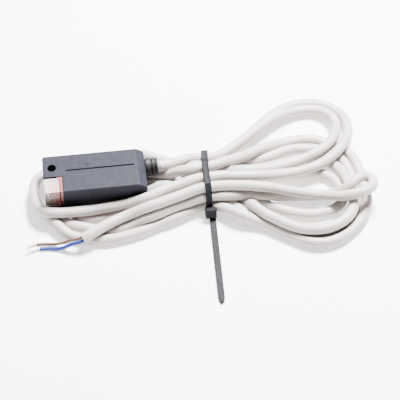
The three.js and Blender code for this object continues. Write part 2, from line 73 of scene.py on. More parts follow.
# ---- the lead's centreline, case-corner layout, mm ----------------------------------------------
LEAD = np.array([
    (44.40, 12.80, 4.60), (47.25, 13.36, 4.28), (49.83, 14.61, 3.39), (52.42, 15.85, 2.53), (55.25, 16.74, 2.26), (58.22, 16.77, 2.53),
    (61.17, 16.30, 2.53), (64.16, 16.37, 2.42), (66.99, 17.17, 1.90), (69.59, 18.58, 1.43), (72.13, 20.16, 1.23), (74.63, 21.82, 1.15),
    (77.07, 23.57, 1.11), (79.45, 25.41, 1.09), (81.78, 27.29, 1.04), (84.12, 29.17, 0.94), (86.46, 31.04, 0.79), (88.83, 32.88, 0.59),
    (91.26, 34.61, 0.30), (93.79, 36.17, -0.11), (96.43, 37.53, -0.55), (99.20, 38.61, -0.97), (102.08, 39.35, -1.35), (105.05, 39.67, -1.61),
    (108.03, 39.41, -1.61), (110.84, 38.43, -1.33), (113.26, 36.71, -0.92), (115.03, 34.34, -0.54), (115.97, 31.52, -0.23), (116.04, 28.55, 0.09),
    (115.47, 25.64, 0.53), (114.44, 22.90, 1.17), (112.93, 20.37, 1.63), (110.99, 18.09, 1.69), (108.71, 16.13, 1.69), (106.17, 14.54, 1.67),
    (103.44, 13.35, 1.40), (100.61, 12.41, 1.07), (97.74, 11.51, 0.98), (94.88, 10.63, 1.17), (92.01, 9.81, 1.51), (89.12, 9.07, 1.82),
    (86.21, 8.43, 2.20), (83.30, 7.89, 2.65), (80.34, 7.56, 3.07), (77.36, 7.63, 3.37), (74.40, 8.00, 3.18), (71.71, 8.84, 2.20),
    (69.20, 10.32, 1.62), (66.51, 11.47, 2.13), (63.56, 11.69, 2.53), (60.64, 12.17, 3.01), (57.66, 12.36, 3.05), (55.12, 11.18, 2.32),
    (54.87, 8.42, 1.84), (57.17, 6.70, 2.15), (60.13, 6.45, 2.41), (63.12, 6.64, 2.37), (66.02, 6.69, 1.64), (68.69, 6.72, 0.27),
    (71.44, 7.13, -0.82), (74.33, 7.88, -0.94), (77.25, 8.47, -0.61), (80.23, 8.60, -0.82), (83.19, 8.62, -1.32), (86.14, 8.74, -1.84),
    (89.12, 8.82, -2.20), (92.12, 8.69, -2.30), (95.11, 8.49, -2.30), (98.11, 8.28, -2.30), (101.10, 8.02, -2.30), (104.06, 7.54, -2.30),
    (106.91, 6.63, -2.30), (109.47, 5.08, -2.30), (111.37, 2.78, -2.30), (112.52, 0.01, -2.30), (113.20, -2.90, -2.30), (112.96, -5.88, -2.30),
    (111.49, -8.48, -2.30), (109.20, -10.40, -2.30), (106.46, -11.62, -2.30), (103.53, -12.21, -2.30), (100.53, -12.28, -2.30), (97.55, -11.93, -2.30),
    (94.63, -11.23, -2.30), (91.82, -10.19, -2.30), (89.12, -8.88, -2.30), (86.47, -7.47, -2.30), (83.79, -6.12, -2.30), (81.29, -4.47, -2.30),
    (79.08, -2.44, -2.30), (77.01, -0.27, -2.15), (74.80, 1.54, -1.29), (72.38, 2.60, 0.10), (69.65, 2.74, 1.27), (66.73, 2.41, 1.88),
    (63.78, 2.11, 2.30), (60.78, 2.00, 2.38), (57.79, 1.97, 2.13), (54.84, 2.23, 1.72), (51.94, 2.99, 1.60), (49.11, 3.99, 1.69),
    (46.28, 4.96, 1.56), (43.52, 5.60, 0.63), (41.01, 5.82, -0.99), (38.35, 6.17, -2.20), (35.44, 6.90, -2.30), (32.58, 7.82, -2.30),
    (29.77, 8.87, -2.30), (26.98, 9.97, -2.30), (24.17, 11.03, -2.30), (21.31, 11.95, -2.30), (18.39, 12.60, -2.30), (15.40, 12.81, -2.30),
    (12.41, 12.57, -2.30), (9.51, 11.81, -2.30), (6.84, 10.45, -2.30), (4.53, 8.54, -2.30), (2.72, 6.16, -2.30), (1.52, 3.42, -2.30),
    (1.03, 0.48, -2.18), (1.36, -2.45, -1.75), (2.53, -5.14, -1.13), (4.24, -7.59, -1.00), (6.15, -9.83, -1.56), (8.49, -11.61, -2.13),
    (11.22, -12.83, -2.30), (14.10, -13.66, -2.30), (17.02, -14.36, -2.30), (19.99, -14.82, -2.30), (22.98, -14.94, -2.30), (25.98, -14.72, -2.30),
    (28.93, -14.19, -2.30), (31.85, -13.48, -2.27), (34.76, -12.76, -2.27), (37.61, -11.82, -2.30), (40.37, -10.64, -2.26), (43.18, -9.63, -2.04),
    (46.06, -8.80, -1.80), (48.90, -7.85, -1.77), (51.67, -6.71, -1.95), (54.42, -5.51, -2.02), (57.19, -4.37, -1.77), (60.07, -3.78, -1.32),
    (62.96, -4.38, -1.02), (65.51, -5.87, -0.54), (67.85, -7.63, 0.14), (70.14, -9.49, 0.62), (72.61, -11.19, 0.54), (75.21, -12.47, -0.17),
    (77.86, -13.46, -1.18), (80.49, -14.70, -1.92), (82.98, -16.34, -2.23), (85.41, -18.11, -2.30), (87.85, -19.85, -2.30), (90.33, -21.55, -2.24),
    (92.82, -23.20, -1.98), (95.39, -24.72, -1.72), (98.17, -25.84, -1.66), (101.11, -26.39, -1.74), (104.10, -26.25, -1.82), (106.99, -25.48, -1.87),
    (109.70, -24.20, -1.97), (112.20, -22.54, -2.15), (114.53, -20.67, -2.27), (116.69, -18.58, -2.30), (118.55, -16.23, -2.30), (120.06, -13.63, -2.30),
    (121.21, -10.87, -2.30), (121.94, -7.96, -2.30), (122.22, -4.97, -2.30), (122.24, -1.97, -2.30), (122.14, 1.03, -2.30), (121.93, 4.02, -2.30),
    (121.65, 7.01, -2.30), (121.20, 9.98, -2.30), (120.52, 12.90, -2.30), (119.18, 15.57, -2.30), (117.16, 17.77, -2.30), (114.78, 19.61, -2.30),
    (112.29, 21.28, -2.30), (109.76, 22.89, -2.30), (107.05, 24.17, -2.30), (104.13, 24.85, -2.30), (101.14, 24.99, -2.30), (98.15, 24.76, -2.29),
    (95.20, 24.21, -2.16), (92.33, 23.40, -1.82), (89.57, 22.38, -1.24), (86.95, 21.17, -0.43), (84.44, 19.80, 0.48), (81.97, 18.27, 1.24),
    (79.46, 16.72, 1.80), (76.93, 15.26, 2.47), (74.43, 13.85, 3.35), (71.98, 12.48, 4.41), (69.50, 11.17, 5.46), (66.76, 10.03, 5.83),
    (63.84, 9.34, 5.78), (60.85, 9.19, 5.75), (57.86, 9.00, 5.75), (54.88, 8.69, 5.65), (52.02, 8.93, 4.89), (49.81, 9.76, 3.07),
    (47.75, 10.97, 1.26), (45.58, 12.17, -0.43), (43.11, 13.11, -1.80), (40.26, 13.87, -2.29), (37.36, 14.65, -2.30), (34.56, 15.74, -2.30),
    (32.28, 17.65, -2.30), (31.35, 20.43, -2.30), (32.39, 23.17, -2.30), (34.90, 24.71, -2.30), (37.87, 24.86, -2.30), (40.74, 24.04, -2.30),
    (43.44, 22.72, -2.30), (46.04, 21.23, -2.30), (48.67, 19.79, -2.30), (51.40, 18.54, -2.30), (54.24, 17.58, -2.16), (57.13, 16.97, -1.69),
    (60.08, 16.70, -1.20), (63.07, 16.81, -1.23), (65.74, 18.04, -1.80), (68.25, 19.64, -2.16), (70.73, 21.32, -2.29), (73.16, 23.08, -2.30),
    (75.56, 24.89, -2.30), (77.91, 26.75, -2.30), (80.20, 28.69, -2.30), (82.45, 30.68, -2.30), (84.67, 32.71, -2.30), (86.87, 34.75, -2.30),
    (89.10, 36.75, -2.30), (91.45, 38.62, -2.30), (93.96, 40.27, -2.30), (96.62, 41.64, -2.30), (99.43, 42.69, -2.30), (102.36, 43.36, -2.30),
    (105.34, 43.63, -2.30), (108.33, 43.45, -2.30), (111.25, 42.76, -2.30), (113.97, 41.50, -2.30), (116.40, 39.76, -2.30), (118.51, 37.63, -2.30),
    (120.07, 35.08, -2.20), (120.85, 32.22, -1.80), (120.95, 29.29, -1.21), (120.56, 26.39, -0.54), (119.75, 23.59, 0.19), (118.64, 20.91, 0.95),
    (117.26, 18.32, 1.58), (115.55, 15.87, 1.69), (113.54, 13.64, 1.72), (111.30, 11.65, 1.85), (108.88, 9.89, 1.75), (106.26, 8.43, 1.67),
    (103.47, 7.35, 1.63), (100.56, 6.64, 1.40), (97.60, 6.19, 1.20), (94.63, 5.81, 1.30), (91.69, 5.38, 1.70), (88.79, 4.87, 2.30),
    (85.93, 4.34, 3.03), (83.05, 3.92, 3.76), (80.11, 3.73, 4.33), (77.12, 3.85, 4.59), (74.14, 4.15, 4.66), (71.15, 4.38, 4.82),
    (68.17, 4.43, 5.20), (65.20, 4.26, 5.58), (62.22, 3.96, 5.76), (59.22, 3.89, 5.77), (56.27, 3.38, 5.71), (53.38, 2.57, 5.61),
    (50.50, 1.78, 5.35), (47.61, 0.99, 5.15), (44.76, 0.07, 5.15), (41.97, -1.06, 5.16), (39.19, -2.11, 4.83), (36.31, -2.24, 4.00),
    (33.48, -2.17, 3.01), (30.60, -2.16, 2.16), (27.65, -2.24, 1.64), (24.66, -2.39, 1.45), (21.66, -2.58, 1.33), (18.62, -2.83, 1.23),
    (15.54, -3.10, 1.32), (12.44, -3.35, 1.56), (9.31, -3.53, 1.74), (6.19, -3.59, 1.96), (3.11, -3.38, 2.15), (0.11, -2.50, 2.12),
    (-2.18, -0.60, 1.84), (-3.43, 2.09, 1.42), (-4.03, 5.09, 0.99), (-4.24, 8.19, 0.61), (-4.06, 11.31, 0.25), (-3.34, 14.32, -0.30),
    (-2.06, 16.99, -1.26), (-0.02, 19.12, -2.08), (2.65, 20.51, -2.30), (5.57, 21.22, -2.30), (8.57, 21.36, -2.30), (11.55, 21.05, -2.30),
    (14.47, 20.36, -2.30), (17.30, 19.38, -2.30), (20.06, 18.18, -2.30), (22.75, 16.86, -2.30), (25.42, 15.48, -2.30), (28.09, 14.12, -2.30),
    (30.81, 12.84, -2.30), (33.59, 11.70, -2.30), (36.43, 10.74, -2.30), (39.33, 9.99, -2.30), (42.25, 9.27, -2.30), (45.18, 8.67, -2.30),
    (48.13, 9.10, -2.30), (50.84, 10.38, -2.30), (53.56, 11.63, -2.26), (56.44, 12.35, -1.87), (59.36, 12.65, -1.28), (62.35, 12.71, -1.13),
    (65.27, 13.17, -1.50), (68.07, 14.14, -2.00), (70.91, 15.07, -2.26), (73.84, 15.73, -2.30), (76.82, 16.10, -2.30), (79.81, 16.35, -2.30),
    (82.79, 16.67, -2.30), (85.75, 17.17, -2.29), (88.65, 17.95, -2.21), (91.49, 18.91, -2.14), (94.34, 19.84, -2.21), (97.28, 20.42, -2.29),
    (100.28, 20.49, -2.30), (103.26, 20.15, -2.30), (106.19, 19.48, -2.30), (108.99, 18.42, -2.30), (111.59, 16.93, -2.30), (113.91, 15.03, -2.30),
    (115.75, 12.68, -2.30), (116.99, 9.95, -2.30), (117.64, 7.03, -2.30), (117.96, 4.04, -2.30), (118.18, 1.05, -2.30), (118.29, -1.95, -2.30),
    (118.26, -4.95, -2.30), (117.89, -7.92, -2.30), (116.98, -10.78, -2.30), (115.54, -13.41, -2.30), (113.70, -15.78, -2.30), (111.59, -17.92, -2.30),
    (109.24, -19.77, -2.30), (106.65, -21.29, -2.30), (103.82, -22.28, -2.30), (100.84, -22.39, -2.30), (97.97, -21.56, -2.30), (95.35, -20.11, -2.30),
    (92.84, -18.45, -2.30), (90.37, -16.76, -2.30), (87.91, -15.03, -2.30), (85.48, -13.27, -2.30), (83.02, -11.55, -2.30), (80.38, -10.13, -2.30),
    (77.47, -9.45, -2.30), (74.62, -8.70, -1.96), (72.36, -6.86, -1.32), (70.26, -4.72, -1.24), (67.98, -2.77, -1.23), (65.58, -0.96, -1.17),
    (62.92, 0.37, -1.18), (59.95, 0.56, -1.27), (57.07, -0.08, -1.80), (54.32, -1.20, -2.20), (51.57, -2.40, -2.30), (48.82, -3.61, -2.30),
    (46.03, -4.71, -2.30), (43.14, -5.51, -2.30), (40.17, -5.89, -2.30), (37.18, -5.73, -2.30), (34.23, -5.17, -2.30), (31.32, -4.43, -2.30),
    (28.38, -3.83, -2.30), (25.38, -3.71, -2.30), (22.41, -4.11, -2.30), (19.45, -4.57, -2.30), (16.45, -4.64, -2.30), (13.52, -4.07, -2.30),
    (11.03, -2.46, -2.30), (10.02, 0.28, -2.30), (11.12, 2.99, -2.30), (13.66, 4.51, -2.30), (16.64, 4.71, -2.30), (19.59, 4.16, -2.30),
    (22.43, 3.21, -2.30), (25.21, 2.07, -2.30), (27.98, 0.92, -2.30), (30.81, -0.09, -2.30), (33.70, -0.91, -2.30), (36.62, -1.59, -2.30),
    (39.60, -1.94, -2.30), (42.58, -1.63, -2.30), (45.43, -0.71, -2.30), (48.19, 0.48, -2.30), (50.94, 1.69, -2.30), (53.70, 2.87, -2.30),
    (56.47, 3.91, -1.87), (59.31, 4.61, -1.21), (62.30, 4.69, -1.12), (65.07, 3.94, -1.86), (67.55, 2.33, -2.29), (69.93, 0.50, -2.30),
    (72.28, -1.36, -2.30), (74.46, -3.38, -1.99), (76.31, -5.39, -0.81), (77.57, -7.42, 1.00), (78.99, -9.92, 1.64), (80.99, -12.14, 1.47),
    (83.35, -13.98, 1.30), (85.74, -15.79, 1.23), (88.12, -17.62, 1.18), (90.60, -19.32, 1.20), (93.20, -20.82, 1.31), (95.96, -21.97, 1.50),
    (98.88, -22.59, 1.65), (101.88, -22.67, 1.69), (104.84, -22.20, 1.69), (107.68, -21.24, 1.67), (110.31, -19.81, 1.63), (112.60, -17.87, 1.64),
    (114.43, -15.49, 1.68), (115.67, -12.77, 1.68), (116.23, -9.83, 1.56), (116.29, -6.85, 1.24), (115.95, -3.89, 0.91), (115.56, -0.93, 0.61),
    (115.07, 2.01, 0.20), (114.43, 4.87, -0.41), (113.60, 7.67, -1.13), (112.25, 10.24, -1.83), (110.25, 12.41, -2.20), (107.70, 13.98, -2.30),
    (104.84, 14.86, -2.30), (101.85, 15.12, -2.30), (98.86, 14.90, -2.30), (95.90, 14.42, -2.30), (92.96, 13.81, -2.30), (90.02, 13.20, -2.30),
    (87.05, 12.76, -2.30), (84.06, 12.52, -2.30), (81.07, 12.32, -2.30), (78.07, 12.17, -2.30), (75.08, 11.90, -2.30), (72.14, 11.30, -2.30),
    (69.30, 10.35, -2.29), (66.52, 9.35, -1.85), (63.69, 8.72, -1.13), (60.69, 8.70, -1.15), (57.78, 8.40, -1.79), (54.95, 7.55, -2.28),
    (52.14, 6.49, -2.30), (49.38, 5.31, -2.30), (46.63, 4.11, -2.30), (43.88, 2.91, -2.30), (40.99, 2.13, -2.30), (38.00, 2.19, -2.30),
    (35.08, 2.84, -2.30), (32.21, 3.74, -2.30), (29.40, 4.78, -2.30), (26.60, 5.87, -2.30), (23.80, 6.95, -2.30), (20.96, 7.91, -2.30),
    (18.04, 8.59, -2.30), (15.05, 8.81, -2.30), (12.08, 8.41, -2.30), (9.31, 7.27, -2.30), (7.02, 5.35, -2.30), (5.51, 2.78, -2.30),
    (5.02, -0.16, -2.30), (5.75, -3.05, -2.30), (7.47, -5.47, -2.12), (9.91, -7.17, -1.92), (12.72, -8.21, -1.93), (15.59, -9.08, -2.14),
    (18.46, -9.95, -2.29), (21.39, -10.56, -2.30), (24.39, -10.66, -2.30), (27.36, -10.28, -2.30), (30.30, -9.69, -2.08), (33.14, -9.16, -1.30),
    (35.92, -8.87, -0.19), (38.75, -8.49, 0.71), (41.61, -7.74, 1.17), (44.45, -6.78, 1.35), (47.27, -5.76, 1.37), (50.11, -4.79, 1.34),
    (53.00, -3.97, 1.44), (55.90, -3.32, 1.83), (58.81, -2.85, 2.36), (61.81, -2.81, 2.46), (64.80, -3.07, 2.58), (67.78, -3.37, 2.70),
    (70.77, -3.42, 2.52), (73.75, -3.21, 2.19), (76.73, -2.97, 2.08), (79.67, -3.43, 1.72), (82.63, -3.70, 1.32), (85.47, -3.64, 0.37),
    (88.28, -3.42, -0.67), (91.15, -3.13, -1.50), (94.09, -2.97, -2.04), (97.08, -2.99, -2.27), (100.08, -3.19, -2.30), (103.05, -3.55, -2.24),
    (105.96, -4.06, -1.74), (108.62, -4.78, -0.57), (110.91, -5.56, 1.19), (112.97, -6.13, 3.29), (115.29, -5.65, 5.02), (117.68, -3.95, 5.54),
    (120.25, -2.45, 5.32), (123.10, -2.73, 4.86), (124.19, -5.36, 4.91), (122.88, -7.96, 5.39), (120.47, -9.65, 5.77), (117.61, -10.53, 5.77),
    (114.67, -10.62, 5.27), (111.94, -10.00, 4.21), (109.40, -8.85, 3.11), (106.84, -7.59, 2.17), (104.15, -6.45, 1.52), (101.32, -5.50, 1.23),
    (98.41, -4.76, 1.28), (95.49, -4.14, 1.62), (92.60, -3.68, 2.25), (89.74, -3.37, 3.09), (86.91, -3.17, 4.09), (84.05, -2.98, 4.96),
    (81.10, -2.70, 5.43), (78.15, -2.24, 5.76), (75.19, -1.74, 5.85), (72.22, -1.35, 5.82), (69.24, -1.00, 5.85), (66.24, -0.80, 5.84),
    (63.24, -0.80, 5.83), (60.24, -0.88, 5.80), (57.28, -1.28, 5.73), (54.39, -2.03, 5.36), (51.51, -2.81, 5.04), (48.64, -3.66, 4.97),
    (45.79, -4.60, 5.00), (42.92, -5.48, 4.91), (40.02, -6.14, 4.55), (37.14, -6.47, 3.79), (34.34, -6.66, 2.72), (31.51, -7.02, 1.78),
    (28.67, -7.81, 1.33), (25.90, -8.97, 1.39), (23.24, -10.32, 1.64), (20.63, -11.80, 1.70), (18.05, -13.34, 1.73), (15.42, -14.77, 1.62),
    (12.72, -15.79, 0.83),
])
CABLE_D = 4.0
FLOOR_Z = -4.3


def catmull(P, k):
    P = np.asarray(P, float)
    Q = np.vstack([2 * P[0] - P[1], P, 2 * P[-1] - P[-2]])
    out = []
    for i in range(len(P) - 1):
        p0, p1, p2, p3 = Q[i], Q[i + 1], Q[i + 2], Q[i + 3]
        for j in range(k):
            t = j / k
            out.append(0.5 * (2 * p1 + (p2 - p0) * t + (2 * p0 - 5 * p1 + 4 * p2 - p3) * t * t
                              + (3 * p1 - p0 - 3 * p2 + p3) * t ** 3))
    out.append(P[-1])
    return np.array(out)


def curve(name, P, d, res=5, caps=True):
    c = bpy.data.curves.new(name, "CURVE")
    c.dimensions = "3D"
    c.bevel_depth = d * 0.0005
    c.bevel_resolution = res
    c.use_fill_caps = caps
    c.twist_mode = "MINIMUM"
    s = c.splines.new("POLY")
    s.points.add(len(P) - 1)
    W = row(P)
    s.points.foreach_set("co", np.c_[W, np.ones(len(W))].ravel())
    s.use_smooth = True
    o = bpy.data.objects.new(name, c)
    bpy.context.scene.collection.objects.link(o)
    return o


lead_pts = catmull(LEAD, 3)
lead = curve("lead", lead_pts, CABLE_D, 5)

# hidden inner stretch of the lead, from the clamp through the boot
inner_lead = curve("lead_in_boot", catmull([(34.3, 12.8, 4.6), (37.5, 12.8, 4.6), (41, 12.8, 4.6), (44.39, 12.8, 4.6)], 4), CABLE_D - 0.01, 5)

END = LEAD[-1]
END_DIR = (LEAD[-1] - LEAD[-3]) / np.linalg.norm(LEAD[-1] - LEAD[-3])
side = np.cross(END_DIR, (0, 0, 1.0)); side /= np.linalg.norm(side)
upv = np.cross(side, END_DIR)


def wobble(P, a, seed):
    rng = np.random.RandomState(seed)
    n = len(P)
    f = np.zeros((n, 3))
    for _ in range(4):
        f += np.sin(np.linspace(0, rng.uniform(4, 12), n)[:, None] + rng.uniform(0, 6, 3)) * rng.uniform(-a, a, 3)
    w = np.minimum(1, np.arange(n) / 6.0)[:, None]
    return P + f * w


def core_start(s, u):
    return [END - END_DIR * 2.2 + side * s + upv * u, END - END_DIR * 0.2 + side * s + upv * u, END + END_DIR * 1.3 + side * s * 1.05 + upv * u]


BROWN = core_start(0.70, 0.35) + [(8.6, -15.35, 0.2), (5.0, -14.7, -2.0), (2.0, -13.9, -3.4), (-1.0, -13.2, -3.75), (-4.6, -13.0, -3.78)]
BLUE = core_start(-0.58, -0.30) + [(8.4, -16.9, -0.6), (5.4, -16.6, -2.6), (2.6, -16.1, -3.55), (-0.4, -15.5, -3.68), (-3.5, -15.3, -3.68)]
brown_pts = wobble(catmull(BROWN, 8), 0.03, 3)
blue_pts = wobble(catmull(BLUE, 8), 0.03, 5)
brown = curve("core_brown_wire", brown_pts, 1.08, 5)
blue = curve("core_blue_wire", blue_pts, 1.42, 5)


def strands(name, start, P, seed, fan):
    """Seven fine tinned wires, twisted at the core and fraying out."""
    rng = np.random.RandomState(seed)
    line = catmull(P, 7)
    n = len(line)
    t = np.linspace(0, 1, n)
    d = np.gradient(line, axis=0); d /= np.linalg.norm(d, axis=1)[:, None]
    s = np.cross(d, (0, 0, 1.0)); s /= np.linalg.norm(s, axis=1)[:, None]
    u = np.cross(s, d)
    c = bpy.data.curves.new(name, "CURVE")
    c.dimensions = "3D"; c.bevel_depth = 0.00009; c.bevel_resolution = 2; c.use_fill_caps = True
    for i in range(7):
        a0 = i * 2 * math.pi / 6
        r = (0.0 if i == 6 else 0.19) + (0.25 + fan * rng.uniform(0.3, 1.0)) * t ** 1.7
        ang = a0 + 5.0 * t * (1 - 0.45 * t) + rng.uniform(-0.15, 0.15)
        q = line + s * (np.cos(ang) * r)[:, None] + u * (np.sin(ang) * r * 0.55)[:, None]
        q[:, 2] = np.maximum(q[:, 2], FLOOR_Z + 0.11 + 0.02 * i)
        keep = max(6, int(n * rng.uniform(0.82, 1.0)))
        q = q[:keep]
        sp = c.splines.new("POLY"); sp.points.add(len(q) - 1)
        sp.points.foreach_set("co", np.c_[row(q), np.ones(len(q))].ravel()); sp.use_smooth = True
    o = bpy.data.objects.new(name, c)
    bpy.context.scene.collection.objects.link(o)
    return o


st_brown = strands("strand_bundle_brown", None, [brown_pts[-3], brown_pts[-1], (-6.2, -13.2, -3.85), (-7.8, -13.8, -3.95), (-9.1, -14.4, -4.0)], 11, 0.5)
st_blue = strands("strand_bundle_blue", None, [blue_pts[-3], blue_pts[-1], (-5.2, -15.6, -3.85), (-7.4, -16.2, -3.95), (-9.7, -16.9, -4.0)], 12, 0.55)


# ---- surfaces from signed distances --------------------------------------------------------------
def net(name, f, lo, hi, h, steps=2):
    """Closed quad surface of f = 0 on a grid of side h, its vertices pulled on to the surface."""
    ax = [np.arange(lo[i] - 1.5 * h, hi[i] + 1.5 * h, h) for i in range(3)]
    X, Y, Z = np.meshgrid(*ax, indexing="ij")
    G = f(X, Y, Z)
    n = G.shape
    neg = G < 0
    acc = np.zeros((n[0] - 1, n[1] - 1, n[2] - 1, 3)); cnt = np.zeros((n[0] - 1, n[1] - 1, n[2] - 1))
    pos = (X, Y, Z)
    for a in range(3):
        A = [slice(None)] * 3; B = [slice(None)] * 3
        A[a] = slice(0, -1); B[a] = slice(1, None)
        A, B = tuple(A), tuple(B)
        cross = neg[A] != neg[B]
        g0, g1 = G[A], G[B]
        t = np.where(cross, g0 / np.where(cross, g0 - g1, 1.0), 0.0)
        P = np.stack([p[A] + (p[B] - p[A]) * t for p in pos], -1)
        o = [i for i in range(3) if i != a]
        for du in (0, 1):
            for dv in (0, 1):
                S = [slice(None)] * 3
                S[o[0]] = slice(du, n[o[0]] - 1 + du); S[o[1]] = slice(dv, n[o[1]] - 1 + dv)
                S = tuple(S)
                cr = cross[S]
                acc += P[S] * cr[..., None]; cnt += cr
    act = cnt > 0
    idx = np.full(act.shape, -1, np.int64); idx[act] = np.arange(act.sum())
    V = acc[act] / cnt[act][:, None]
    F = []
    for a in range(3):
        o1, o2 = (a + 1) % 3, (a + 2) % 3
        A = [slice(1, -1)] * 3; B = [slice(1, -1)] * 3
        A[a] = slice(0, -1); B[a] = slice(1, None)
        s0, s1 = neg[tuple(A)], neg[tuple(B)]
        where = np.argwhere(s0 != s1)
        flip = s0[tuple(where.T)]
        where = where.copy()
        off = np.ones(3, int); off[a] = 0
        where = where + off
        q = []
        for d1, d2 in ((-1, -1), (0, -1), (0, 0), (-1, 0)):
            w = where.copy(); w[:, o1] += d1; w[:, o2] += d2
            q.append(idx[tuple(w.T)])
        q = np.stack(q, 1)
        q[~flip] = q[~flip][:, ::-1]
        F.append(q)
    F = np.vstack(F)
    e = h * 0.02
    for _ in range(steps):
        v = f(V[:, 0], V[:, 1], V[:, 2])
        g = np.stack([f(V[:, 0] + e, V[:, 1], V[:, 2]) - v, f(V[:, 0], V[:, 1] + e, V[:, 2]) - v,
                      f(V[:, 0], V[:, 1], V[:, 2] + e) - v], 1) / e
        m = np.maximum((g ** 2).sum(1), 0.25)
        step = -(v / m)[:, None] * g
        ln = np.linalg.norm(step, axis=1)
        step *= np.minimum(1.0, 0.5 * h / np.maximum(ln, 1e-9))[:, None]
        V = V + step
    me = bpy.data.meshes.new(name)
    W = row(V)
    me.vertices.add(len(W)); me.vertices.foreach_set("co", W.ravel())
    me.loops.add(F.size); me.loops.foreach_set("vertex_index", F.ravel().astype(np.int32))
    me.polygons.add(len(F))
    me.polygons.foreach_set("loop_start", np.arange(0, F.size, 4, dtype=np.int32))
    me.polygons.foreach_set("use_smooth", np.ones(len(F), bool))
    me.update(calc_edges=True); me.validate()
    o = bpy.data.objects.new(name, me)
    bpy.context.scene.collection.objects.link(o)
    return o


def inter(a, b, r):
    """Intersection with its edge rounded to radius r."""
    return np.minimum(np.maximum(a, b), -r) + np.sqrt(np.maximum(a + r, 0) ** 2 + np.maximum(b + r, 0) ** 2)


def union(a, b, r):
    return -inter(-a, -b, r)


def cut(a, b, r):
    return inter(a, -b, r)


def rect2(u, v, u0, u1, v0, v1, r):
    du = np.abs(u - (u0 + u1) / 2) - (u1 - u0) / 2 + r
    dv = np.abs(v - (v0 + v1) / 2) - (v1 - v0) / 2 + r
    return np.minimum(np.maximum(du, dv), 0) + np.sqrt(np.maximum(du, 0) ** 2 + np.maximum(dv, 0) ** 2) - r


def slab(z, z0, z1):
    return np.abs(z - (z0 + z1) / 2) - (z1 - z0) / 2


def block(X, Y, Z, x0, x1, y0, y1, z0, z1, rv, rt):
    return inter(rect2(X, Y, x0, x1, y0, y1, rv), slab(Z, z0, z1), rt)


def polygon(u, v, pts):
    """Signed distance to a closed polygon."""
    pts = np.asarray(pts, float)
    d = np.full(np.shape(u), 1e9); s = np.ones(np.shape(u))
    j = len(pts) - 1
    for i in range(len(pts)):
        e = pts[j] - pts[i]
        wu, wv = u - pts[i, 0], v - pts[i, 1]
        t = np.clip((wu * e[0] + wv * e[1]) / (e @ e), 0, 1)
        bu, bv = wu - e[0] * t, wv - e[1] * t
        d = np.minimum(d, bu * bu + bv * bv)
        c1 = v >= pts[i, 1]; c2 = v < pts[j, 1]; c3 = e[0] * wv > e[1] * wu
        flip = (c1 & c2 & c3) | (~c1 & ~c2 & ~c3)
        s = np.where(flip, -s, s)
        j = i
    return s * np.sqrt(d)


# ---- case shell ----------------------------------------------------------------------------------
CASE = (38.8, 18.0, 10.0)
SN = np.array([2.0, 3.1]) / math.hypot(2.0, 3.1)


def f_case(X, Y, Z):
    d = block(X, Y, Z, 0, CASE[0], 0, CASE[1], 0, CASE[2], 1.05, 0.42)
    d = inter(d, (X - 35.7) * SN[0] + (Z - 10.0) * SN[1], 0.22)
    # cavity, open underneath
    cav = block(X, Y, Z, 8.2, 37.55, 1.25, 16.75, -3, 7.9, 0.5, 0.3)
    cav = np.minimum(cav, block(X, Y, Z, 8.2, 35.1, 1.25, 16.75, 5, 8.7, 0.5, 0.3))
    d = cut(d, cav, 0.12)
    # corner pocket of the lens
    d = cut(d, block(X, Y, Z, -4, 7.15, -4, 7.65, 1.45, 14, 0.2, 0.15), 0.16)
    # window to the cavity
    d = cut(d, block(X, Y, Z, 6.7, 8.7, 2.6, 6.2, 2.6, 8.0, 0.3, 0.3), 0.08)
    # fixing hole, its rim eased
    d = cut(d, np.hypot(X - 3.4, Y - 12.0) - 1.6, 0.22)
    # long engraved line
    d = cut(d, np.maximum(rect2(X, Y, 8.6, 34.5, 9.84, 10.46, 0.25), 9.5 - Z), 0.08)
    # plain shallow marking panel
    d = cut(d, np.maximum(rect2(X, Y, 12.4, 17.2, 10.9, 13.0, 0.4), 9.86 - Z), 0.06)
    # cable exit through the end wall
    d = cut(d, np.maximum(np.hypot(Y - 12.8, Z - 4.6) - 3.05, 36.8 - X), 0.12)
    return d


case = net("case_shell_visual", f_case, (0, 0, 0), CASE, 0.24)


# ---- clear corner lens -----------------------------------------------------------------------------
def f_lens(X, Y, Z):
    d = block(X, Y, Z, 0, 5.9, 0, 7.0, 1.7, 9.95, 0.45, 0.3)
    d = inter(d, (X + Y - 11.8) * 0.70711, 0.12)
    cav = block(X, Y, Z, 1.1, 5.2, 1.1, 5.6, 2.6, 8.8, 0.5, 0.4)
    d = cut(d, cav, 0.2)
    dome = np.sqrt((X - 3.4) ** 2 + (Z - 5.3) ** 2 + (Y + 0.75) ** 2) - 2.8
    d = union(d, np.maximum(np.maximum(dome, 0.9 - Y), np.hypot(X - 3.4, Z - 5.3) - 1.95), 0.1)
    return d


lens = net("corner_lens_visual", f_lens, (0, 0, 1.7), (5.9, 7.0, 9.95), 0.16)

# ---- ribbed strain relief ----------------------------------------------------------------------------


def fillet_profile(pts, r, k=3):
    """Closed profile with each corner rounded to about r."""
    pts = np.asarray(pts, float); n = len(pts); out = []
    for i in range(n):
        a, b, c = pts[i - 1], pts[i], pts[(i + 1) % n]
        la, lc = np.linalg.norm(a - b), np.linalg.norm(c - b)
        t = min(r, la * 0.45, lc * 0.45)
        p, q = b + (a - b) / la * t, b + (c - b) / lc * t
        for j in range(k + 1):
            s = j / k
            out.append((1 - s) ** 2 * p + 2 * s * (1 - s) * b + s * s * q)
    return np.array(out)


